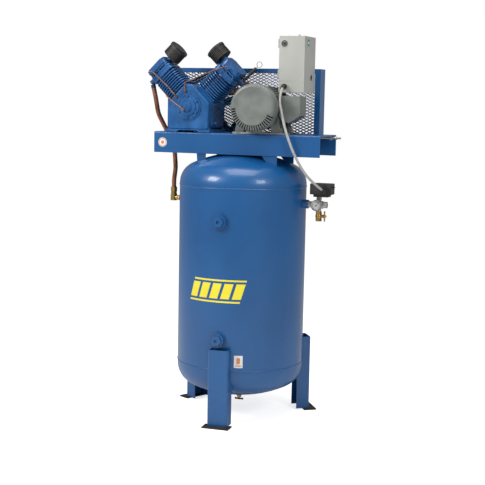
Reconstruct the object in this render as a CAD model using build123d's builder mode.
from build123d import *
import math, os

os.makedirs("parts", exist_ok=True)

# ---------------- driving dimensions (mm), origin on the receiver axis at floor level ----------------
tank_r, tank_t = 305.0, 5.0
seam_low, seam_high = 257.0, 1113.0
bot_centre, bot_depth = 242.0, 150.0
top_centre, top_depth = 1118.0, 148.0

leg_out, leg_in, leg_w, leg_t, leg_top, foot_t = 345.0, 280.0, 49.0, 5.0, 365.0, 6.0
leg_az = (3, 123, 243)
foot_r0, foot_r1, foot_w = 316.0, 378.0, 130.0
anchor_r, anchor_hole = 331.0, 6.5

deck_x0, deck_x1, deck_y, deck_z0, deck_z1, deck_t = -410.0, 418.0, 137.0, 1258.5, 1358.0, 6.0

gx0, gx1, gy0, gy1, gz0, gz1, g_t = -464.0, 331.0, 140.0, 218.0, 1290.0, 1668.0, 2.0

pump_x, pump_z = -236.0, 1478.0
yl, yr = -44.0, -16.0                 # cylinder planes
throw, rod_len, bore_r = 22.0, 118.0, 44.5
journal_r, pin_r = 22.0, 17.0
cyl0, cyl1, head0, head1 = 88.0, 215.0, 225.0, 278.0
elb_d, elb_lat = 239.0, -74.0
fly_r = 165.0

mot_x, mot_z, mot_r = 108.0, 1480.0, 95.0
shaft_r = 14.3
pul_r = 66.0

ex0, ex1, ey0, ey1, ez0, ez1 = 177.0, 302.0, -30.0, 140.0, 1553.0, 1815.0
lid_z0 = 1606.5

man_x, man_z = 382.0, 1032.0
cord_d = 12.0

C = math.sqrt(0.5)


def face_y(y, x=0.0, z=0.0):
    """sketch plane at y, extruding towards -Y, local axes X and Z"""
    return Plane(origin=(x, y, z), x_dir=(1, 0, 0), z_dir=(0, -1, 0))


def face_x(x, y=0.0, z=0.0):
    """sketch plane at x, extruding towards +X, local axes Y and Z"""
    return Plane(origin=(x, y, z), x_dir=(0, 1, 0), z_dir=(1, 0, 0))


def bank(side, d, y):
    """plane square to a cylinder axis, d from the crank axis; local y points up and inward"""
    return Plane(origin=(pump_x + side * C * d, y, pump_z + C * d), x_dir=(0, side, 0), z_dir=(side * C, 0, C))


def port(side, d, lat, y):
    """plane square to the up-and-inward direction of a cylinder head"""
    return Plane(origin=(pump_x + side * C * (d - lat), y, pump_z + C * (d + lat)),
                 x_dir=(0, 1, 0), z_dir=(-side * C, 0, C))


def leg_plane(az, z):
    """plane at height z whose local x points outward at azimuth az from the front"""
    a = math.radians(az - 90)
    return Plane(origin=(0, 0, z), x_dir=(math.cos(a), math.sin(a), 0), z_dir=(0, 0, 1))


def head_lines(centre, depth, sign, inset):
    """dished-head profile in X and Z: knuckle arc, crown arc; returns five points"""
    knuckle = 104.0
    crown = ((tank_r - knuckle) ** 2 + depth ** 2 - knuckle ** 2) / (2 * (depth - knuckle))
    kx, kz, cz = tank_r - knuckle, 0.0, depth - crown
    ang = math.atan2(kz - cz, kx)
    rk, rc = knuckle - inset, crown - inset
    a1, a2 = ang / 2, (ang + math.pi / 2) / 2
    pts = [(tank_r - inset, 0.0), (kx + rk * math.cos(a1), rk * math.sin(a1)), (kx + rk * math.cos(ang), rk * math.sin(ang)),
           (rc * math.cos(a2), cz + rc * math.sin(a2)), (0.0, depth - inset)]
    return [(x, centre + sign * z) for x, z in pts]


# receiver outer envelope, used only to trim what is welded to it
top_o, bot_o = head_lines(top_centre, top_depth, 1, 0), head_lines(bot_centre, bot_depth, -1, 0)
with BuildPart() as envelope:
    with BuildSketch(Plane.XZ):
        with BuildLine():
            ThreePointArc(*top_o[0:3])
            ThreePointArc(*top_o[2:5])
            Line(top_o[4], bot_o[4])
            ThreePointArc(*bot_o[2:5])
            ThreePointArc(*bot_o[0:3])
            Line(bot_o[0], top_o[0])
        make_face()
    revolve(axis=Axis.Z)

# ---------------- receiver ----------------
with BuildPart() as tank_shell:
    with BuildSketch(Plane.XY.offset(seam_low)):
        Circle(tank_r)
    extrude(amount=seam_high - seam_low)
    # weld beads at both seams
    for zb in (seam_low, seam_high):
        with BuildSketch(Plane.XZ):
            with Locations((tank_r, zb + (3.4 if zb == seam_low else -3.4))):
                Ellipse(2.2, 3.4)
        revolve(axis=Axis.Z)
    with BuildSketch(Plane.XY.offset(seam_low - 1)):
        Circle(tank_r - tank_t)
    extrude(amount=seam_high - seam_low + 2, mode=Mode.SUBTRACT)
    for zp in (957.6, 404.6):
        with BuildSketch(face_y(-250, 0, zp)):
            Circle(27)
        extrude(amount=80, mode=Mode.SUBTRACT)
    with BuildSketch(face_x(250, 0, man_z)):
        Circle(13.2)
    extrude(amount=80, mode=Mode.SUBTRACT)
    with BuildSketch(face_x(-330, 0, man_z)):
        Circle(11.2)
    extrude(amount=80, mode=Mode.SUBTRACT)
tank_shell.part.label = "tank_shell"
export_step(tank_shell.part, "parts/tank_shell.step")

with BuildPart() as tank_top_head:
    top_i = head_lines(top_centre, top_depth, 1, tank_t)
    with BuildSketch(Plane.XZ):
        with BuildLine():
            ThreePointArc(*top_o[0:3])
            ThreePointArc(*top_o[2:5])
            Line(top_o[4], top_i[4])
            ThreePointArc(*top_i[2:5])
            ThreePointArc(*top_i[0:3])
            Line(top_i[0], (tank_r - tank_t, seam_high))
            Line((tank_r - tank_t, seam_high), (tank_r, seam_high))
            Line((tank_r, seam_high), top_o[0])
        make_face()
    revolve(axis=Axis.Z)
tank_top_head.part.label = "tank_top_head"
export_step(tank_top_head.part, "parts/tank_top_head.step")

with BuildPart() as tank_bottom_head:
    bot_i = head_lines(bot_centre, bot_depth, -1, tank_t)
    with BuildSketch(Plane.XZ):
        with BuildLine():
            ThreePointArc(*bot_o[0:3])
            ThreePointArc(*bot_o[2:5])
            Line(bot_o[4], bot_i[4])
            ThreePointArc(*bot_i[2:5])
            ThreePointArc(*bot_i[0:3])
            Line(bot_i[0], (tank_r - tank_t, seam_low))
            Line((tank_r - tank_t, seam_low), (tank_r, seam_low))
            Line((tank_r, seam_low), bot_o[0])
        make_face()
    revolve(axis=Axis.Z)
    with BuildSketch(Plane.XY.offset(60)):
        Circle(8)
    extrude(amount=60, mode=Mode.SUBTRACT)
tank_bottom_head.part.label = "tank_bottom_head"
export_step(tank_bottom_head.part, "parts/tank_bottom_head.step")

with BuildPart() as tank_ports:
    for zp in (957.6, 404.6):
        with BuildSketch(face_y(-270, 0, zp)):
            Circle(41)
        extrude(amount=40)
        with BuildSketch(face_y(-309, 0, zp)):
            Circle(34)
        extrude(amount=14)
    with BuildSketch(face_x(290, 0, man_z)):
        Circle(21)
    extrude(amount=40)
    with BuildSketch(face_x(-328, 0, man_z)):
        Circle(18)
    extrude(amount=40)
    with BuildSketch(Plane.XY.offset(74)):
        Circle(15)
    extrude(amount=30)
    add(envelope.part, mode=Mode.SUBTRACT)
    for zp in (957.6, 404.6):
        with BuildSketch(face_y(-250, 0, zp)):
            Circle(27)
        extrude(amount=80, mode=Mode.SUBTRACT)
    with BuildSketch(face_x(280, 0, man_z)):
        Circle(13.2)
    extrude(amount=60, mode=Mode.SUBTRACT)
    with BuildSketch(face_x(-335, 0, man_z)):
        Circle(11.2)
    extrude(amount=60, mode=Mode.SUBTRACT)
    with BuildSketch(Plane.XY.offset(70)):
        Circle(8)
    extrude(amount=40, mode=Mode.SUBTRACT)
tank_ports.part.label = "tank_ports"
export_step(tank_ports.part, "parts/tank_ports.step")

with BuildPart() as inspection_plugs:
    for zp in (957.6, 404.6):
        with BuildSketch(face_y(-301, 0, zp)):
            Circle(27)
        extrude(amount=22)
        with BuildSketch(face_y(-323, 0, zp)):
            RegularPolygon(26, 6)
        extrude(amount=9)
        with BuildSketch(face_y(-326, 0, zp)):
            Rectangle(14, 14)
        extrude(amount=10, mode=Mode.SUBTRACT)
inspection_plugs.part.label = "inspection_plugs"
export_step(inspection_plugs.part, "parts/inspection_plugs.step")

with BuildPart() as tank_legs:
    for az in leg_az:
        with BuildSketch(leg_plane(az, foot_t)):
            with Locations((leg_out - 60, 0)):
                RectangleRounded(120, 2 * leg_w, 9)
            with Locations((leg_out - leg_t - 60, 0)):
                RectangleRounded(120, 2 * (leg_w - leg_t), 4, mode=Mode.SUBTRACT)
            with Locations((leg_in - 50, 0)):
                Rectangle(100, 3 * leg_w, mode=Mode.SUBTRACT)
        extrude(amount=leg_top - foot_t)
    add(envelope.part, mode=Mode.SUBTRACT)
    with Locations((0, 0, seam_low + 3.5)):
        Cylinder(tank_r + 2.5, 9, mode=Mode.SUBTRACT)
tank_legs.part.label = "tank_legs"
export_step(tank_legs.part, "parts/tank_legs.step")

with BuildPart() as foot_plates:
    for az in leg_az:
        with BuildSketch(leg_plane(az, 0)):
            with Locations(((foot_r0 + foot_r1) / 2, 0)):
                Rectangle(foot_r1 - foot_r0, foot_w)
            with Locations((anchor_r, 0)):
                Circle(anchor_hole, mode=Mode.SUBTRACT)
        extrude(amount=foot_t)
foot_plates.part.label = "foot_plates"
export_step(foot_plates.part, "parts/foot_plates.step")

# ---------------- deck ----------------
with BuildPart() as deck:
    with Locations(((deck_x0 + deck_x1) / 2, 0, (deck_z0 + deck_z1) / 2)):
        Box(deck_x1 - deck_x0, 2 * deck_y, deck_z1 - deck_z0)
    fillet(deck.edges().filter_by(Axis.X).filter_by_position(Axis.Z, deck_z1 - 1, deck_z1 + 1), 7)
    with Locations(((deck_x0 + deck_x1) / 2, 0, (deck_z0 + deck_z1) / 2 - deck_t)):
        Box(deck_x1 - deck_x0 + 2, 2 * (deck_y - deck_t), deck_z1 - deck_z0, mode=Mode.SUBTRACT)
    with Locations((deck_x0 + 14, 0, deck_z1)):
        Box(42, 40, 40, mode=Mode.SUBTRACT)
    with Locations((pump_x - 100, -120, deck_z1), (pump_x + 100, -120, deck_z1),
                   (pump_x - 100, 56, deck_z1), (pump_x + 100, 56, deck_z1)):
        Cylinder(6, 40, mode=Mode.SUBTRACT)
deck.part.label = "deck"
export_step(deck.part, "parts/deck.step")

with BuildPart() as deck_gussets:
    for ys in (-1, 1):
        for xa, xb, xc, xd in ((-191, -145, -185, -150), (136, 210, 190, 210)):
            yb = ys * (deck_y - deck_t) if ys > 0 else ys * (deck_y - deck_t) + deck_t
            with BuildSketch(face_y(yb, 0, 0)):
                with BuildLine():
                    Polyline((xa, 1320), (xb, 1320), (xb, 1258), (xd, 1190), (xc, 1190), (xa, 1258), close=True)
                make_face()
            extrude(amount=deck_t)
    add(envelope.part, mode=Mode.SUBTRACT)
deck_gussets.part.label = "deck_gussets"
export_step(deck_gussets.part, "parts/deck_gussets.step")

# ---------------- belt guard ----------------
gcx, gcy, gcz = (gx0 + gx1) / 2, (gy0 + gy1) / 2, (gz0 + gz1) / 2
with BuildPart() as guard_frame:
    with Locations((gcx, gcy, gcz)):
        Box(gx1 - gx0, gy1 - gy0, gz1 - gz0)
        Box(gx1 - gx0 - 2 * g_t, gy1 - gy0 - 2 * g_t, gz1 - gz0 - 2 * g_t, mode=Mode.SUBTRACT)
        Box(gx1 - gx0 - 54, 200, gz1 - gz0 - 40, mode=Mode.SUBTRACT)
guard_frame.part.label = "guard_frame"
export_step(guard_frame.part, "parts/guard_frame.step")

with BuildPart() as guard_screens:
    with BuildSketch(face_y(gy0 + g_t + 1.5, gcx, gcz)):
        Rectangle(gx1 - gx0 - 36, gz1 - gz0 - 22)
        with Locations((pump_x - gcx, pump_z - gcz)):
            Circle(56, mode=Mode.SUBTRACT)
        with Locations((mot_x - gcx, mot_z - gcz)):
            Circle(40, mode=Mode.SUBTRACT)
    extrude(amount=1.5)
    with BuildSketch(face_y(gy1 - g_t, gcx, gcz)):
        Rectangle(gx1 - gx0 - 36, gz1 - gz0 - 22)
    extrude(amount=1.5)
guard_screens.part.label = "guard_screens"
export_step(guard_screens.part, "parts/guard_screens.step")

with BuildPart() as guard_brackets:
    for bx in (-350, 285):
        with Locations((bx, (deck_y + gy0) / 2, 1320)):
            Box(60, gy0 - deck_y, 56)
        for bz in (1305, 1335):
            with BuildSketch(face_y(deck_y - deck_t, bx, bz)):
                RegularPolygon(8, 6)
            extrude(amount=6)
    # screws on the rear lip
    for sx in (gx0 + 14, gcx - 200, gcx, gcx + 200, gx1 - 14):
        for sz in (gz0 + 11, gz1 - 11):
            with BuildSketch(face_y(gy1 + 3, sx, sz)):
                Circle(5)
            extrude(amount=3)
guard_brackets.part.label = "guard_brackets"
export_step(guard_brackets.part, "parts/guard_brackets.step")

# ---------------- pump ----------------
with BuildPart() as crankcase:
    with BuildSketch(face_y(73, pump_x, pump_z)):
        with BuildLine():
            Polyline((-18.4, 106), (18.4, 106), (106, 18.4), (101, -106), (-101, -106), (-106, 18.4), close=True)
        make_face()
    extrude(amount=210)
    fillet(crankcase.edges().filter_by(Axis.Y).group_by(Axis.Z)[-1], 28)
    fillet(crankcase.edges().filter_by(Axis.Y).filter_by_position(Axis.Z, pump_z + 17, pump_z + 20), 20)
    fillet(crankcase.edges().filter_by(Axis.Y).group_by(Axis.Z)[0], 12)
    fillet(crankcase.faces().sort_by(Axis.Y)[0].edges(), 6)
    with Locations((pump_x, -32, deck_z1 + 7)):
        Box(224, 216, 14)
    # raised ring for the front cover and side ribs
    with BuildSketch(face_y(-135, pump_x, pump_z)):
        Circle(66)
    extrude(amount=6)
    for sx in (-1, 1):
        with Locations((pump_x + sx * 103, -32, pump_z - 50)):
            Box(8, 150, 84)
    # cavity, front opening and rear bearing seat
    with BuildSketch(face_y(55, pump_x, pump_z)):
        Circle(80)
    extrude(amount=175, mode=Mode.SUBTRACT)
    with BuildSketch(face_y(-110, pump_x, pump_z)):
        Circle(44)
    extrude(amount=40, mode=Mode.SUBTRACT)
    with BuildSketch(face_y(80, pump_x, pump_z)):
        Circle(36)
    extrude(amount=40, mode=Mode.SUBTRACT)
    for s, y in ((-1, yl), (1, yr)):
        with BuildSketch(bank(s, 50, y)):
            Circle(55)
        extrude(amount=60, mode=Mode.SUBTRACT)
    # arched relief between the feet
    with BuildSketch(face_y(90, pump_x, deck_z1)):
        with BuildLine():
            Polyline((-58, 0), (58, 0), (46, 9), (-46, 9), close=True)
        make_face()
    extrude(amount=240, mode=Mode.SUBTRACT)
    with Locations((pump_x - 100, -120, deck_z1 + 5), (pump_x + 100, -120, deck_z1 + 5),
                   (pump_x - 100, 56, deck_z1 + 5), (pump_x + 100, 56, deck_z1 + 5)):
        Cylinder(6, 24, mode=Mode.SUBTRACT)
        with Locations((0, 0, 25)):
            Cylinder(13, 32, mode=Mode.SUBTRACT)
crankcase.part.label = "crankcase"
export_step(crankcase.part, "parts/crankcase.step")

with BuildPart() as bearing_covers:
    for y0, r, h in ((-141, 58, 5), (-146, 42, 5), (-151, 22, 5)):
        with BuildSketch(face_y(y0, pump_x, pump_z)):
            Circle(r)
        extrude(amount=h)
    with BuildSketch(face_y(83, pump_x, pump_z)):
        Circle(50)
        Circle(24, mode=Mode.SUBTRACT)
    extrude(amount=10)
    with BuildSketch(face_y(-140, pump_x, pump_z)):
        Circle(30)
    extrude(amount=6, mode=Mode.SUBTRACT)
bearing_covers.part.label = "bearing_covers"
export_step(bearing_covers.part, "parts/bearing_covers.step")

with BuildPart() as crank_bearings:
    with BuildSketch(face_y(-121, pump_x, pump_z)):
        Circle(44)
        Circle(journal_r + 0.05, mode=Mode.SUBTRACT)
    extrude(amount=19)
    with BuildSketch(face_y(72, pump_x, pump_z)):
        Circle(36)
        Circle(journal_r + 0.05, mode=Mode.SUBTRACT)
    extrude(amount=17)
crank_bearings.part.label = "crank_bearings"
export_step(crank_bearings.part, "parts/crank_bearings.step")

with BuildPart() as oil_fittings:
    # sight glass low on the left side, drain plug low on the right, fill plug on top
    with BuildSketch(face_x(pump_x - 115, -70, pump_z - 56)):
        Circle(15)
    extrude(amount=8)
    with BuildSketch(face_x(pump_x - 116, -70, pump_z - 56)):
        Circle(10)
    extrude(amount=6, mode=Mode.SUBTRACT)
    with BuildSketch(face_x(pump_x + 107, -70, pump_z - 80)):
        Circle(10)
    extrude(amount=5)
    with BuildSketch(face_x(pump_x + 112, -70, pump_z - 80)):
        RegularPolygon(12, 6)
    extrude(amount=9)
    with BuildSketch(Plane(origin=(pump_x, 40, pump_z + 106), z_dir=(0, 0, 1))):
        Circle(14)
    extrude(amount=8)
    with BuildSketch(Plane(origin=(pump_x, 40, pump_z + 114), z_dir=(0, 0, 1))):
        RegularPolygon(13, 6)
    extrude(amount=12)
oil_fittings.part.label = "oil_fittings"
export_step(oil_fittings.part, "parts/oil_fittings.step")

for s, y, nm in ((-1, yl, "cylinder_left"), (1, yr, "cylinder_right")):
    with BuildPart() as cylinder:
        with BuildSketch(bank(s, cyl0, y)):
            RectangleRounded(114, 114, 14)
        extrude(amount=10)
        with BuildSketch(bank(s, cyl0 - 10, y)):
            Circle(55)
        extrude(amount=12)
        with BuildSketch(bank(s, cyl0 + 5, y)):
            Circle(52)
        extrude(amount=cyl1 - cyl0 - 10)
        for i in range(8):
            with BuildSketch(bank(s, 104.5 + 12.4 * i, y)):
                RectangleRounded(128 - (6 if i == 0 else 0), 128, 40)
            extrude(amount=4.6)
        with BuildSketch(bank(s, cyl1 - 8, y)):
            RectangleRounded(122, 122, 20)
        extrude(amount=8)
        with BuildSketch(bank(s, cyl0 - 20, y)):
            Circle(bore_r)
        extrude(amount=160, mode=Mode.SUBTRACT)
    cylinder.part.label = nm
    export_step(cylinder.part, "parts/" + nm + ".step")

with BuildPart() as valve_plates:
    for s, y in ((-1, yl), (1, yr)):
        with BuildSketch(bank(s, cyl1, y)):
            RectangleRounded(119, 119, 20)
            with Locations((0, 24), (0, -24)):
                Circle(12, mode=Mode.SUBTRACT)
        extrude(amount=head0 - cyl1)
valve_plates.part.label = "valve_plates"
export_step(valve_plates.part, "parts/valve_plates.step")

for s, y, nm in ((-1, yl, "head_left"), (1, yr, "head_right")):
    with BuildPart() as head:
        with BuildSketch(bank(s, head0, y)):
            RectangleRounded(122, 122, 20)
        extrude(amount=8)
        with BuildSketch(bank(s, head0, y)):
            RectangleRounded(98, 108, 20)
        extrude(amount=30)
        with BuildSketch(bank(s, head0 + 16.5, y)):
            RectangleRounded(120, 120, 34)
        extrude(amount=4.6)
        with BuildSketch(bank(s, head0 + 27, y)):
            RectangleRounded(108, 112, 24)
        extrude(amount=head1 - head0 - 27)
        # cooling ribs cut across the top
        for k in range(-4, 5):
            with BuildSketch(bank(s, head1 - 13, y)):
                with Locations((k * 12.0, 0)):
                    Rectangle(6, 130)
            extrude(amount=30, mode=Mode.SUBTRACT)
        # intake boss up and inward, discharge boss down and outward
        with BuildSketch(port(s, 256, 50, y)):
            Circle(16)
        extrude(amount=17)
        with BuildSketch(port(s, elb_d, -63, y)):
            Circle(12)
        extrude(amount=12)
        # chambers over the two valve ports
        with BuildSketch(bank(s, head0, y)):
            with Locations((0, 25), (0, -25)):
                Rectangle(76, 40)
        extrude(amount=30, mode=Mode.SUBTRACT)
        with BuildSketch(port(s, elb_d, -80, y)):
            Circle(8)
        extrude(amount=40, mode=Mode.SUBTRACT)
    head.part.label = nm
    export_step(head.part, "parts/" + nm + ".step")

with BuildPart() as intake_filters:
    for s, y in ((-1, yl), (1, yr)):
        with BuildSketch(port(s, 256, 67, y)):
            Circle(20)
        extrude(amount=9)
        with BuildSketch(port(s, 256, 75, y)):
            Circle(46)
        extrude(amount=6)
        with BuildSketch(port(s, 256, 80, y)):
            Circle(43)
        extrude(amount=44)
        for k in range(5):
            with BuildSketch(port(s, 256, 85 + 8.5 * k, y)):
                Circle(46)
            extrude(amount=4.5)
        with BuildSketch(port(s, 256, 124, y)):
            Circle(48)
        extrude(amount=10)
        with BuildSketch(port(s, 256, 133, y)):
            Circle(36)
        extrude(amount=5)
intake_filters.part.label = "intake_filters"
export_step(intake_filters.part, "parts/intake_filters.step")

with BuildPart() as hex_bolts:
    # head bolts
    for s, y in ((-1, yl), (1, yr)):
        with BuildSketch(bank(s, head0 + 8, y)):
            with Locations((-54.7, -44), (54.7, -44), (-54.7, 44), (54.7, 44), (-54.7, 0), (54.7, 0)):
                RegularPolygon(5.2, 6)
        extrude(amount=7.5)
    # front cover bolts
    with BuildSketch(face_y(-146, pump_x, pump_z)):
        with PolarLocations(50, 6, 30):
            RegularPolygon(6.5, 6)
    extrude(amount=5)
    # pump hold-down bolts with nuts below the deck
    for bx, by in ((-100, -120), (100, -120), (-100, 56), (100, 56)):
        with BuildSketch(Plane.XY.offset(deck_z1 + 14)):
            with Locations((pump_x + bx, by)):
                RegularPolygon(10, 6)
        extrude(amount=8)
        with BuildSketch(Plane.XY.offset(deck_z1 - 16)):
            with Locations((pump_x + bx, by)):
                Circle(5.8)
        extrude(amount=31)
        with BuildSketch(Plane.XY.offset(deck_z1 - deck_t - 8)):
            with Locations((pump_x + bx, by)):
                RegularPolygon(10, 6)
        extrude(amount=8)
    # motor foot bolts
    for bx in (-95.25, 95.25):
        for by in (-94.9, 44.8):
            with BuildSketch(Plane.XY.offset(1377)):
                with Locations((mot_x + bx, by)):
                    RegularPolygon(9, 6)
            extrude(amount=7)
hex_bolts.part.label = "hex_bolts"
export_step(hex_bolts.part, "parts/hex_bolts.step")

# running gear of the pump, crankpin straight up
with BuildPart() as crankshaft:
    with BuildSketch(face_y(-79, pump_x, pump_z)):
        Circle(journal_r)
    extrude(amount=58)
    for y0 in (-61, 20):
        with BuildSketch(face_y(y0, pump_x, pump_z)):
            with BuildLine():
                Polyline((-30, 24), (30, 24), (44, -12), (44, -40), (-44, -40), (-44, -12), close=True)
            make_face()
            with Locations((0, throw)):
                Circle(30)
            with Locations((0, -8)):
                Circle(52)
            with Locations((0, 45)):
                Rectangle(200, 34, mode=Mode.SUBTRACT)
            with Locations((0, throw)):
                Circle(29)
        extrude(amount=19)
    with BuildSketch(face_y(2, pump_x, pump_z + throw)):
        Circle(pin_r)
    extrude(amount=64)
    with BuildSketch(face_y(101, pump_x, pump_z)):
        Circle(journal_r)
    extrude(amount=82)
    with BuildSketch(face_y(206, pump_x, pump_z)):
        Circle(19)
    extrude(amount=106)
crankshaft.part.label = "crankshaft"
export_step(crankshaft.part, "parts/crankshaft.step")

groove = [(-7, 1), (7, 1), (3.6, -11), (-3.6, -11)]
belt_ys = (160.0, 180.0)
with BuildPart() as flywheel:
    with BuildSketch(face_y(192, pump_x, pump_z)):
        Circle(fly_r)
        Circle(142, mode=Mode.SUBTRACT)
    extrude(amount=44)
    with BuildSketch(face_y(203, pump_x, pump_z)):
        Circle(38)
    extrude(amount=56)
    with BuildSketch(face_y(180, pump_x, pump_z)):
        with PolarLocations(90, 5, 18):
            Rectangle(112, 34)
    extrude(amount=20)
    with BuildSketch(face_y(210, pump_x, pump_z)):
        Circle(19)
    extrude(amount=80, mode=Mode.SUBTRACT)
    for by in belt_ys:
        with BuildSketch(Plane(origin=(pump_x, by, pump_z), x_dir=(0, 1, 0), z_dir=(-1, 0, 0))):
            with BuildLine():
                Polyline(*[(a, -(fly_r + b)) for a, b in groove], close=True)
            make_face()
        revolve(axis=Axis((pump_x, 0, pump_z), (0, 1, 0)), mode=Mode.SUBTRACT)
flywheel.part.label = "flywheel"
export_step(flywheel.part, "parts/flywheel.step")

for s, y, nm in ((-1, yl, "connecting_rod_left"), (1, yr, "connecting_rod_right")):
    with BuildPart() as rod:
        pz = pump_z + throw
        with BuildSketch(face_y(y + 12, pump_x, pz)):
            Circle(26)
            with Locations((s * C * rod_len, C * rod_len)):
                Circle(14)
        extrude(amount=24)
        with BuildSketch(face_y(y + 7, pump_x, pz)):
            with BuildLine():
                Polyline((-C * 14, -s * -C * 14 * 1.0), (C * 14, s * -C * 14), (s * C * rod_len + C * 9, C * rod_len - s * C * 9),
                         (s * C * rod_len - C * 9, C * rod_len + s * C * 9), close=True)
            make_face()
        extrude(amount=14)
        with BuildSketch(face_y(y + 20, pump_x + s * C * rod_len, pz + C * rod_len)):
            Circle(9)
        extrude(amount=40)
        with BuildSketch(face_y(y + 14, pump_x, pz)):
            Circle(pin_r + 0.05)
        extrude(amount=28, mode=Mode.SUBTRACT)
    rod.part.label = nm
    export_step(rod.part, "parts/" + nm + ".step")

# pistons at the height that goes with the crankpin straight up
rise = throw * C + math.sqrt(rod_len ** 2 - (throw * C) ** 2)
for s, y, nm in ((-1, yl, "piston_left"), (1, yr, "piston_right")):
    with BuildPart() as piston:
        with BuildSketch(bank(s, rise - 14, y)):
            Circle(bore_r - 0.05)
        extrude(amount=82)
        with BuildSketch(bank(s, rise - 16, y)):
            Circle(40.2)
        extrude(amount=76, mode=Mode.SUBTRACT)
        for g in (52, 58, 63):
            with BuildSketch(bank(s, rise + g - 1, y)):
                Circle(60)
                Circle(42.3, mode=Mode.SUBTRACT)
            extrude(amount=2.4, mode=Mode.SUBTRACT)
    piston.part.label = nm
    export_step(piston.part, "parts/" + nm + ".step")

# ---------------- motor ----------------
with BuildPart() as motor_housing:
    with BuildSketch(face_y(78, mot_x, mot_z)):
        Circle(mot_r)
        with PolarLocations(mot_r + 2, 40):
            Rectangle(9, 2.6)
    extrude(amount=218)
    for sx in (-1, 1):
        with BuildSketch(face_y(66, mot_x, mot_z)):
            with BuildLine():
                Polyline((sx * 78, -60), (sx * 94, -40), (sx * 112, -103), (sx * 112, -114.3), (sx * 72, -114.3), (sx * 60, -78), close=True)
            make_face()
        extrude(amount=42)
        with BuildSketch(face_y(-74, mot_x, mot_z)):
            with BuildLine():
                Polyline((sx * 78, -60), (sx * 94, -40), (sx * 112, -103), (sx * 112, -114.3), (sx * 72, -114.3), (sx * 60, -78), close=True)
            make_face()
        extrude(amount=42)
        for by in (-94.9, 44.8):
            with Locations((mot_x + sx * 95.25, by, 1395)):
                Box(26, 26, 36, mode=Mode.SUBTRACT)
    with BuildSketch(face_y(100, mot_x, mot_z)):
        Circle(88)
    extrude(amount=300, mode=Mode.SUBTRACT)
motor_housing.part.label = "motor_housing"
export_step(motor_housing.part, "parts/motor_housing.step")

with BuildPart() as motor_end_bells:
    with BuildSketch(face_y(84, mot_x, mot_z)):
        Circle(96)
    extrude(amount=6)
    with BuildSketch(face_y(96, mot_x, mot_z)):
        Circle(78)
    extrude(amount=12)
    with BuildSketch(face_y(-140, mot_x, mot_z)):
        Circle(96)
    extrude(amount=8)
    with BuildSketch(face_y(-146, mot_x, mot_z)):
        Circle(40)
    extrude(amount=8)
    with BuildSketch(face_y(120, mot_x, mot_z)):
        Circle(shaft_r + 0.06)
    extrude(amount=300, mode=Mode.SUBTRACT)
motor_end_bells.part.label = "motor_end_bells"
export_step(motor_end_bells.part, "parts/motor_end_bells.step")

with BuildPart() as motor_stator:
    with BuildSketch(face_y(40, mot_x, mot_z)):
        Circle(88)
        Circle(56, mode=Mode.SUBTRACT)
    extrude(amount=130)
    for y0 in (62, -90):
        with BuildSketch(face_y(y0, mot_x, mot_z)):
            Circle(80)
            Circle(60, mode=Mode.SUBTRACT)
        extrude(amount=22)
motor_stator.part.label = "motor_stator"
export_step(motor_stator.part, "parts/motor_stator.step")

with BuildPart() as motor_rotor:
    with BuildSketch(face_y(38, mot_x, mot_z)):
        Circle(55.4)
    extrude(amount=126)
    with BuildSketch(face_y(204, mot_x, mot_z)):
        Circle(shaft_r)
    extrude(amount=388)
motor_rotor.part.label = "motor_rotor"
export_step(motor_rotor.part, "parts/motor_rotor.step")

with BuildPart() as motor_fan:
    with BuildSketch(face_y(-158, mot_x, mot_z)):
        Circle(30)
        with PolarLocations(52, 8):
            Rectangle(66, 4)
    extrude(amount=24)
    with BuildSketch(face_y(-158, mot_x, mot_z)):
        Circle(84)
    extrude(amount=3)
    with BuildSketch(face_y(-150, mot_x, mot_z)):
        Circle(shaft_r + 0.1)
    extrude(amount=40, mode=Mode.SUBTRACT)
motor_fan.part.label = "motor_fan"
export_step(motor_fan.part, "parts/motor_fan.step")

with BuildPart() as motor_fan_cover:
    with BuildSketch(Plane(origin=(mot_x, 0, mot_z), x_dir=(0, 1, 0), z_dir=(1, 0, 0))):
        with BuildLine():
            Polyline((-141, 98), (-141, 110), (-178, 111.5), (-190, 109), (-197, 103.5), (-200, 95), (-200, 0), (-197.5, 0), (-197.5, 94),
                     (-195, 101.5), (-189, 106.5), (-177, 109), (-148, 107.6), (-148, 98), close=True)
        make_face()
    revolve(axis=Axis((mot_x, 0, mot_z), (0, 1, 0)))
    with BuildSketch(face_y(-184, mot_x, mot_z)):
        with PolarLocations(97, 22, -175, 158):
            Rectangle(32, 6.5)
    extrude(amount=30, mode=Mode.SUBTRACT)
motor_fan_cover.part.label = "motor_fan_cover"
export_step(motor_fan_cover.part, "parts/motor_fan_cover.step")

with BuildPart() as motor_conduit_box:
    with BuildSketch(face_y(-5, mot_x, mot_z)):
        with BuildLine():
            Polyline((95, -30), (95, 57), (199, 57), (199, -34), (146, -68), (112, -60), close=True)
        make_face()
    extrude(amount=92)
    fillet(motor_conduit_box.edges().filter_by(Axis.Y).filter_by_position(Axis.X, mot_x + 130, mot_x + 205), 5)
    with Locations((mot_x + 150, -51, mot_z + 4)):
        Box(84, 80, 88, mode=Mode.SUBTRACT)
    with BuildSketch(face_y(20, mot_x, mot_z)):
        Circle(101.6)
    extrude(amount=140, mode=Mode.SUBTRACT)
motor_conduit_box.part.label = "motor_conduit_box"
export_step(motor_conduit_box.part, "parts/motor_conduit_box.step")

with BuildPart() as motor_slide_base:
    for ry in (-94.9, 44.8):
        with Locations((mot_x + 10, ry, deck_z1 + 3.85)):
            Box(270, 44, 7.7)
motor_slide_base.part.label = "motor_slide_base"
export_step(motor_slide_base.part, "parts/motor_slide_base.step")

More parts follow.
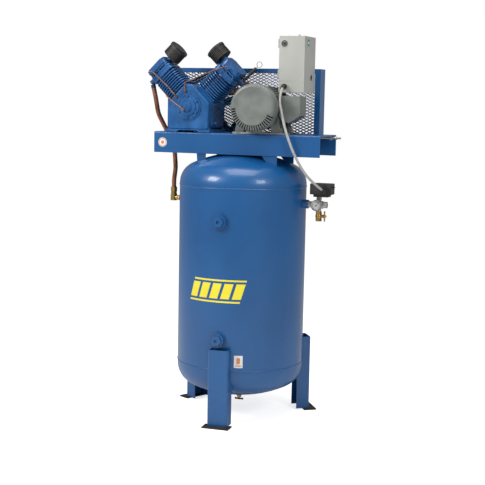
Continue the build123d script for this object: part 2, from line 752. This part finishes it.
with BuildPart() as motor_pulley:
    with BuildSketch(face_y(192, mot_x, mot_z)):
        Circle(pul_r)
    extrude(amount=44)
    with BuildSketch(face_y(200, mot_x, mot_z)):
        Circle(30)
    extrude(amount=56)
    with BuildSketch(face_y(210, mot_x, mot_z)):
        Circle(shaft_r)
    extrude(amount=80, mode=Mode.SUBTRACT)
    for by in belt_ys:
        with BuildSketch(Plane(origin=(mot_x, by, mot_z), x_dir=(0, 1, 0), z_dir=(-1, 0, 0))):
            with BuildLine():
                Polyline(*[(a, -(pul_r + b)) for a, b in groove], close=True)
            make_face()
        revolve(axis=Axis((mot_x, 0, mot_z), (0, 1, 0)), mode=Mode.SUBTRACT)
motor_pulley.part.label = "motor_pulley"
export_step(motor_pulley.part, "parts/motor_pulley.step")

# belts: closed loops of trapezoid section, clear of the grooves
pitch_big, pitch_small = fly_r - 5.0, pul_r - 5.0
dist = math.hypot(mot_x - pump_x, mot_z - pump_z)
lean = math.atan2(mot_z - pump_z, mot_x - pump_x)
half = math.acos((pitch_big - pitch_small) / dist)
with BuildPart() as drive_belts:
    for by in belt_ys:
        def at(cx, cz, r, a):
            return (cx + r * math.cos(a), cz + r * math.sin(a))
        p1 = at(pump_x, pump_z, pitch_big, lean + half)
        p2 = at(mot_x, mot_z, pitch_small, lean + half)
        p2m = at(mot_x, mot_z, pitch_small, lean)
        p3 = at(mot_x, mot_z, pitch_small, lean - half)
        p4 = at(pump_x, pump_z, pitch_big, lean - half)
        p4m = at(pump_x, pump_z, pitch_big, lean + math.pi)
        with BuildLine(face_y(by, 0, 0)) as belt_path:
            Line(p1, p2)
            ThreePointArc(p2, p2m, p3)
            Line(p3, p4)
            ThreePointArc(p4, p4m, p1)
        nx, nz = math.cos(lean + half), math.sin(lean + half)
        with BuildSketch(Plane(origin=(p1[0], by, p1[1]), x_dir=(0, 1, 0), z_dir=(nz, 0, -nx))):
            with BuildLine():
                s1 = 1.0
                Polyline((-5.6, 4.0 * s1), (5.6, 4.0 * s1), (3.4, -4.0 * s1), (-3.4, -4.0 * s1), close=True)
            make_face()
        sweep(path=belt_path.wires()[0])
drive_belts.part.label = "drive_belts"
export_step(drive_belts.part, "parts/drive_belts.step")

with BuildPart() as belt_adjuster:
    with BuildSketch(face_x(250, 80, 1344)):
        Circle(5)
    extrude(amount=206)
    with BuildSketch(face_x(430, 80, 1344)):
        RegularPolygon(9, 6)
    extrude(amount=8)
    with BuildSketch(face_x(404, 80, 1343.5)):
        Rectangle(30, 17)
    extrude(amount=8)
belt_adjuster.part.label = "belt_adjuster"
export_step(belt_adjuster.part, "parts/belt_adjuster.step")

# ---------------- starter ----------------
with BuildPart() as starter_enclosure:
    with Locations(((ex0 + ex1) / 2, (ey1 - 21.5) / 2, (ez0 + ez1) / 2)):
        Box(ex1 - ex0, ey1 + 21.5, ez1 - ez0)
    with Locations(((ex0 + ex1) / 2, (ey0 + 5) / 2, (ez0 + lid_z0 - 0.5) / 2)):
        Box(ex1 - ex0, 35, lid_z0 - 0.5 - ez0)
    with Locations(((ex0 + ex1) / 2, 55, (ez0 + ez1) / 2)):
        Box(ex1 - ex0 - 3, 2 * (ey1 - 55) - 3, ez1 - ez0 - 3, mode=Mode.SUBTRACT)
    # hole for the incoming power on the right side
    with BuildSketch(face_x(290, 84, 1624.5)):
        Circle(14)
    extrude(amount=30, mode=Mode.SUBTRACT)
    # door opening
    with Locations(((ex0 + ex1) / 2, -20, (lid_z0 + ez1) / 2)):
        Box(ex1 - ex0 - 22, 30, ez1 - lid_z0 - 22, mode=Mode.SUBTRACT)
    # stud on top
    with BuildSketch(Plane(origin=(262, 10, ez1), z_dir=(0, 0, 1))):
        Circle(4)
    extrude(amount=9)
starter_enclosure.part.label = "starter_enclosure"
export_step(starter_enclosure.part, "parts/starter_enclosure.step")

with BuildPart() as starter_contactor:
    with Locations((240, 99, 1745)):
        Box(78, 78, 90)
    with Locations((240, 104, 1665)):
        Box(64, 68, 62)
    with Locations((240, 112, 1700)):
        Box(58, 50, 12)
    with Locations((215, 60, 1790), (240, 60, 1790), (265, 60, 1790)):
        Box(14, 6, 0.1 + 10, mode=Mode.ADD)
starter_contactor.part.label = "starter_contactor"
export_step(starter_contactor.part, "parts/starter_contactor.step")

reset_x, reset_z = 203.0, 1780.0
with BuildPart() as starter_door:
    with Locations(((ex0 + ex1) / 2, ey0 + 4, (lid_z0 + ez1) / 2)):
        Box(ex1 - ex0, 8, ez1 - lid_z0)
    with Locations(((ex0 + ex1) / 2, ey0 + 6.5, (lid_z0 + ez1) / 2)):
        Box(ex1 - ex0 - 3, 10, ez1 - lid_z0 - 3, mode=Mode.SUBTRACT)
    with BuildSketch(face_y(ey0, reset_x, reset_z)):
        Circle(14)
    extrude(amount=3)
    with BuildSketch(face_y(ey0 + 10, reset_x, reset_z)):
        Circle(8)
    extrude(amount=20, mode=Mode.SUBTRACT)
    # hinge knuckles on the left edge
    for hz in (1640, 1780):
        with BuildSketch(Plane.XY.offset(hz - 20)):
            with Locations((ex0 - 4.5, ey0 + 8)):
                Circle(3.5)
            with Locations((ex0 - 1.5, ey0 + 5.5)):
                Rectangle(5, 3)
        extrude(amount=40)
starter_door.part.label = "starter_door"
export_step(starter_door.part, "parts/starter_door.step")

with BuildPart() as reset_button:
    with BuildSketch(face_y(ey0 + 12, reset_x, reset_z)):
        Circle(7.6)
    extrude(amount=19)
    with BuildSketch(face_y(ey0 + 14, reset_x, reset_z)):
        Circle(10)
    extrude(amount=4)
reset_button.part.label = "reset_button"
export_step(reset_button.part, "parts/reset_button.step")

# ---------------- air lines ----------------
lp = (pump_x - C * (elb_d - elb_lat), yl, pump_z + C * (elb_d + elb_lat))
rp = (pump_x + C * (elb_d - elb_lat), yr, pump_z + C * (elb_d + elb_lat))
drop0, drop1 = (lp[0], yl, 1564.0), (-447.0, yl, 1520.0)
with BuildPart() as discharge_tubes:
    with BuildLine() as drop:
        FilletPolyline(drop0, drop1, (-437, yl + 12, 1440), (-400, -4, 1354), (-362, 0, 1265), (-355, 0, 1180), (-363, 0, 1120), (-363, 0, 1084),
                       radius=[90, 150, 240, 120, 150, 120])
    with BuildSketch(Plane(origin=drop0, z_dir=Vector(*drop1) - Vector(*drop0))):
        Circle(11)
    sweep(path=drop.wires()[0])
    with BuildLine() as cross:
        FilletPolyline((rp[0], yr + 20, rp[2]), (rp[0], 98, rp[2]), (-96, 98, 1545), (-360, 98, 1545), (lp[0], 98, lp[2]), (lp[0], yl + 20, lp[2]), radius=26)
    with BuildSketch(Plane(origin=(rp[0], yr + 20, rp[2]), z_dir=(0, 1, 0))):
        Circle(9)
    sweep(path=cross.wires()[0])
discharge_tubes.part.label = "discharge_tubes"
export_step(discharge_tubes.part, "parts/discharge_tubes.step")

# check valve at the receiver, elbows on both head ports
with BuildPart() as tube_fittings:
    with BuildSketch(Plane.XY.offset(1062)):
        with Locations((-363, 0)):
            RegularPolygon(17, 6)
    extrude(amount=22)
    with BuildSketch(Plane.XY.offset(1050)):
        with Locations((-363, 0)):
            Circle(14)
    extrude(amount=12)
    with BuildSketch(Plane.XY.offset(1018)):
        with Locations((-363, 0)):
            RegularPolygon(18, 6)
    extrude(amount=32)
    with BuildSketch(face_x(-364, 0, man_z)):
        Circle(11)
    extrude(amount=62)
    with BuildSketch(face_x(-346, 0, man_z)):
        RegularPolygon(13, 6)
    extrude(amount=10)
    for s, q, y in ((-1, lp, yl), (1, rp, yr)):
        with BuildSketch(port(s, elb_d, elb_lat - 13, y)):
            Circle(14)
        extrude(amount=-63 - elb_lat + 13)
        with BuildSketch(face_y(y + 20, q[0], q[2])):
            Circle(9.9)
        extrude(amount=18)
    with BuildSketch(Plane(origin=drop0, z_dir=Vector(*drop0) - Vector(*drop1))):
        RegularPolygon(13, 6)
    extrude(amount=16)
tube_fittings.part.label = "tube_fittings"
export_step(tube_fittings.part, "parts/tube_fittings.step")

with BuildPart() as unloader_tubes:
    for pts in (
        ((-252, -162, 1464), (-264, -162, 1474), (-318, -153, 1508), (-347, -142, 1528), (-354, -105, 1532)),
        ((-296, -142, 1524), (-318, -142, 1546), (-345, -125, 1569), (-432, -122, 1642), (-452, -121, 1640), (-445, -117, 1626), (-445, -96.4, 1626)),
        ((-252, -142, 1553), (-252, -142, 1592), (-110, -104, 1655), (-62, -96, 1670), (-54, -90, 1656), (-54, -70.3, 1656)),
    ):
        with BuildLine() as thin:
            FilletPolyline(*pts, radius=5)
        d0 = Vector(*pts[1]) - Vector(*pts[0])
        with BuildSketch(Plane(origin=pts[0], z_dir=d0)):
            Circle(3)
        sweep(path=thin.wires()[0])
    for pos, r, h in (((-252, -156, 1464), 7, 11), ((-296, -137, 1524), 7, 9), ((-252, -137, 1553), 7, 9)):
        with BuildSketch(face_y(pos[1], pos[0], pos[2])):
            RegularPolygon(r, 6)
        extrude(amount=h)
unloader_tubes.part.label = "unloader_tubes"
export_step(unloader_tubes.part, "parts/unloader_tubes.step")

# relief valve on the right head, pull ring on its stem
rv = (15.0, yr, 1621.0)
rvd = Vector(C, 0, C)


def rv_plane(t):
    return Plane(origin=(rv[0] + rvd.X * t, rv[1], rv[2] + rvd.Z * t), x_dir=(0, 1, 0), z_dir=(rvd.X, 0, rvd.Z))


with BuildPart() as relief_valve:
    with BuildSketch(port(1, 263, -78, yr)):
        Circle(6.5)
    extrude(amount=22)
    with BuildSketch(rv_plane(-24)):
        Circle(7)
    extrude(amount=47)
    with BuildSketch(rv_plane(22)):
        RegularPolygon(10, 6)
    extrude(amount=14)
    with BuildSketch(rv_plane(35)):
        Circle(8)
    extrude(amount=27)
    with BuildSketch(rv_plane(34)):
        Circle(2.55)
    extrude(amount=50, mode=Mode.SUBTRACT)
relief_valve.part.label = "relief_valve"
export_step(relief_valve.part, "parts/relief_valve.step")

ring_c = (rv[0] + rvd.X * 86, rv[1], rv[2] + rvd.Z * 86)
with BuildPart() as relief_ring:
    with BuildSketch(rv_plane(36)):
        Circle(2.5)
    extrude(amount=38)
    with BuildSketch(Plane(origin=ring_c, z_dir=(0, 0, 1))):
        with Locations((13, 0)):
            Circle(1.7)
    revolve(axis=Axis(ring_c, (0, 1, 0)))
relief_ring.part.label = "relief_ring"
export_step(relief_ring.part, "parts/relief_ring.step")

# ---------------- manifold ----------------
with BuildPart() as manifold:
    with BuildSketch(face_x(300, 0, man_z)):
        Circle(13)
    extrude(amount=100)
    with BuildSketch(face_x(331, 0, man_z)):
        RegularPolygon(17, 6)
    extrude(amount=12)
    with BuildSketch(face_x(362, 0, man_z)):
        Circle(18)
    extrude(amount=40)
    with BuildSketch(face_x(400, 0, man_z)):
        Circle(15)
    extrude(amount=22)
    with BuildSketch(face_x(404, 0, man_z)):
        RegularPolygon(17, 6)
    extrude(amount=12)
    with BuildSketch(Plane.XY.offset(man_z - 32)):
        with Locations((man_x, 0)):
            Circle(11)
    extrude(amount=70)
    with BuildSketch(Plane.XY.offset(man_z + 24)):
        with Locations((man_x, 0)):
            RegularPolygon(13, 6)
    extrude(amount=12)
    with BuildSketch(face_y(0, man_x, man_z)):
        Circle(9)
    extrude(amount=29)
    with BuildSketch(Plane.XY.offset(man_z - 40)):
        with Locations((man_x, 0)):
            Circle(7)
    extrude(amount=90, mode=Mode.SUBTRACT)
    with BuildSketch(face_x(295, 0, man_z)):
        Circle(8)
    extrude(amount=100, mode=Mode.SUBTRACT)
manifold.part.label = "manifold"
export_step(manifold.part, "parts/manifold.step")

gauge_y = -52.0
with BuildPart() as gauge_case:
    with BuildSketch(face_y(-29, man_x, man_z)):
        Circle(25)
    extrude(amount=23)
    with BuildSketch(face_y(-29, man_x, man_z)):
        Circle(26.5)
    extrude(amount=4)
    with BuildSketch(face_y(gauge_y + 5, man_x, man_z)):
        Circle(26.5)
    extrude(amount=5)
    with BuildSketch(face_y(gauge_y + 7, man_x, man_z)):
        Circle(23)
    extrude(amount=10, mode=Mode.SUBTRACT)
    with BuildSketch(face_y(gauge_y + 8, man_x, man_z)):
        Circle(1.5)
    extrude(amount=5)
gauge_case.part.label = "gauge_case"
export_step(gauge_case.part, "parts/gauge_case.step")

with BuildPart() as gauge_needle:
    with BuildSketch(face_y(gauge_y + 5, man_x, man_z)):
        Circle(3)
        with BuildLine():
            Polyline((-1.6, -7), (1.6, -7), (0.6, 18), (-0.6, 18), close=True)
        make_face()
        Circle(1.55, mode=Mode.SUBTRACT)
    extrude(amount=1)
gauge_needle_part = gauge_needle.part.rotate(Axis((man_x, 0, man_z), (0, 1, 0)), 40)
gauge_needle_part.label = "gauge_needle"
export_step(gauge_needle_part, "parts/gauge_needle.step")

with BuildPart() as pressure_switch:
    with Locations((man_x + 14, 0, man_z + 44)):
        Box(70, 56, 12)
    with BuildSketch(Plane.XY.offset(man_z + 50)):
        with Locations((man_x + 14, 0)):
            RectangleRounded(102, 72, 5)
    extrude(amount=51)
    fillet(pressure_switch.edges().group_by(Axis.Z)[-1], 4)
    with BuildSketch(Plane.XY.offset(man_z + 52)):
        with Locations((man_x + 14, 0)):
            Rectangle(96, 66)
    extrude(amount=45, mode=Mode.SUBTRACT)
    with Locations((man_x + 14, 0, man_z + 51)):
        Box(60, 50, 2)
    # post under the lever's pivot
    with Locations((man_x + 48, 0, man_z + 65.3)):
        Cylinder(3, 31)
    # lever slot on the right end
    with Locations((man_x + 64, 0, man_z + 84)):
        Box(8, 26, 5, mode=Mode.SUBTRACT)
pressure_switch.part.label = "pressure_switch"
export_step(pressure_switch.part, "parts/pressure_switch.step")

with BuildPart() as switch_lever:
    with Locations((man_x + 48, 0, man_z + 84)):
        Cylinder(4, 5)
    with Locations((man_x + 60, 0, man_z + 84)):
        Box(22, 3, 3)
    with Locations((man_x + 73, 0, man_z + 84)):
        Box(5, 9, 4)
switch_lever.part.label = "switch_lever"
export_step(switch_lever.part, "parts/switch_lever.step")

# outlet valve hanging from the cross, outlet facing down
with BuildPart() as outlet_valve:
    with BuildSketch(Plane.XY.offset(man_z - 44)):
        with Locations((man_x, 0)):
            RegularPolygon(15, 6)
    extrude(amount=12)
    with BuildSketch(Plane.XY.offset(man_z - 78)):
        with Locations((man_x, 0)):
            RegularPolygon(15, 6)
    extrude(amount=14)
    with Locations((man_x, 0, man_z - 54)):
        Sphere(16)
    with BuildSketch(face_x(man_x, 0, man_z - 54)):
        Circle(8)
    extrude(amount=24)
    with BuildSketch(Plane.XY.offset(man_z - 90)):
        with Locations((man_x, 0)):
            Circle(9.3)
    extrude(amount=27, mode=Mode.SUBTRACT)
    with BuildSketch(face_x(man_x + 10, 0, man_z - 54)):
        Circle(3.05)
    extrude(amount=20, mode=Mode.SUBTRACT)
outlet_valve.part.label = "outlet_valve"
export_step(outlet_valve.part, "parts/outlet_valve.step")

with BuildPart() as outlet_handle:
    with BuildSketch(face_x(man_x + 12, 0, man_z - 54)):
        Circle(3)
    extrude(amount=24)
    with BuildSketch(face_x(man_x + 26, 0, man_z - 54)):
        Circle(8)
        with Locations((0, 0)):
            SlotOverall(50, 11, rotation=90)
    extrude(amount=5)
    with BuildSketch(face_x(man_x + 31, 0, man_z - 54)):
        RegularPolygon(6, 6)
    extrude(amount=6)
outlet_handle.part.label = "outlet_handle"
export_step(outlet_handle.part, "parts/outlet_handle.step")

# drain cock under the receiver
with BuildPart() as drain_cock:
    with BuildSketch(Plane.XY.offset(66)):
        Circle(8)
    extrude(amount=26)
    with BuildSketch(Plane.XY.offset(62)):
        RegularPolygon(11, 6)
    extrude(amount=12)
    with BuildSketch(Plane.XY.offset(60)):
        Circle(3.05)
    extrude(amount=24, mode=Mode.SUBTRACT)
drain_cock.part.label = "drain_cock"
export_step(drain_cock.part, "parts/drain_cock.step")

with BuildPart() as drain_handle:
    with BuildSketch(Plane.XY.offset(56)):
        Circle(3)
    extrude(amount=22)
    with BuildSketch(face_y(3, 0, 56)):
        with BuildLine():
            Polyline((-21, -4), (21, -4), (21, 5), (7, 1.5), (-7, 1.5), (-21, 5), close=True)
        make_face()
    extrude(amount=6)
    with BuildSketch(Plane.XY.offset(52)):
        Circle(6)
    extrude(amount=7)
drain_handle.part.label = "drain_handle"
export_step(drain_handle.part, "parts/drain_handle.step")

# ---------------- control cord from the starter to the pressure switch ----------------
cord_pts = [
    (208, -64, 1572), (212, -104, 1548), (218, -132, 1508), (236, -150, 1456), (252, -160, 1404), (271, -164, 1350),
    (294, -162, 1292), (321, -150, 1233), (352, -122, 1174), (384, -90, 1135), (412, -64, 1107)]


def turn_radii(pts):
    out = []
    for a, b, c in zip(pts, pts[1:], pts[2:]):
        u, v = Vector(*b) - Vector(*a), Vector(*c) - Vector(*b)
        t = math.acos(u.normalized().dot(v.normalized()))
        out.append(0.45 * min(u.length, v.length) / math.tan(t / 2))
    return out


radii = turn_radii(cord_pts)
print("cord radii", [round(r, 1) for r in radii])
with BuildPart() as control_cord:
    with BuildLine() as cord_line:
        FilletPolyline(*cord_pts, radius=radii)
    with BuildSketch(Plane(origin=cord_pts[0], z_dir=Vector(*cord_pts[1]) - Vector(*cord_pts[0]))):
        Circle(cord_d / 2)
    sweep(path=cord_line.wires()[0])
control_cord.part.label = "control_cord"
export_step(control_cord.part, "parts/control_cord.step")
print("cord length", cord_line.wires()[0].length, "volume", control_cord.part.volume,
      "expected", cord_line.wires()[0].length * math.pi * cord_d ** 2 / 4)

with BuildPart() as cord_glands:
    d0 = (Vector(*cord_pts[1]) - Vector(*cord_pts[0])).normalized()
    d1 = (Vector(*cord_pts[-1]) - Vector(*cord_pts[-2])).normalized()
    a = Vector(*cord_pts[0])
    b = Vector(*cord_pts[-1])
    with BuildSketch(Plane(origin=a, z_dir=-d0)):
        Circle(10)
    extrude(amount=24)
    with BuildSketch(face_y(ey0, 207.5, 1582)):
        Circle(12)
    extrude(amount=14)
    with BuildSketch(Plane(origin=b, z_dir=d1)):
        Circle(10)
    extrude(amount=22)
    with BuildSketch(face_y(-36, 428, 1096)):
        Circle(12)
    extrude(amount=12)
    with Locations((240, ey0 + 100, 1580)):
        Box(400, 200, 300, mode=Mode.SUBTRACT)
    with Locations((man_x + 14, 0, 1100)):
        Box(200, 72, 200, mode=Mode.SUBTRACT)
cord_glands.part.label = "cord_glands"
export_step(cord_glands.part, "parts/cord_glands.step")
print("glands", len(cord_glands.solids()), "bbox", cord_glands.part.bounding_box())
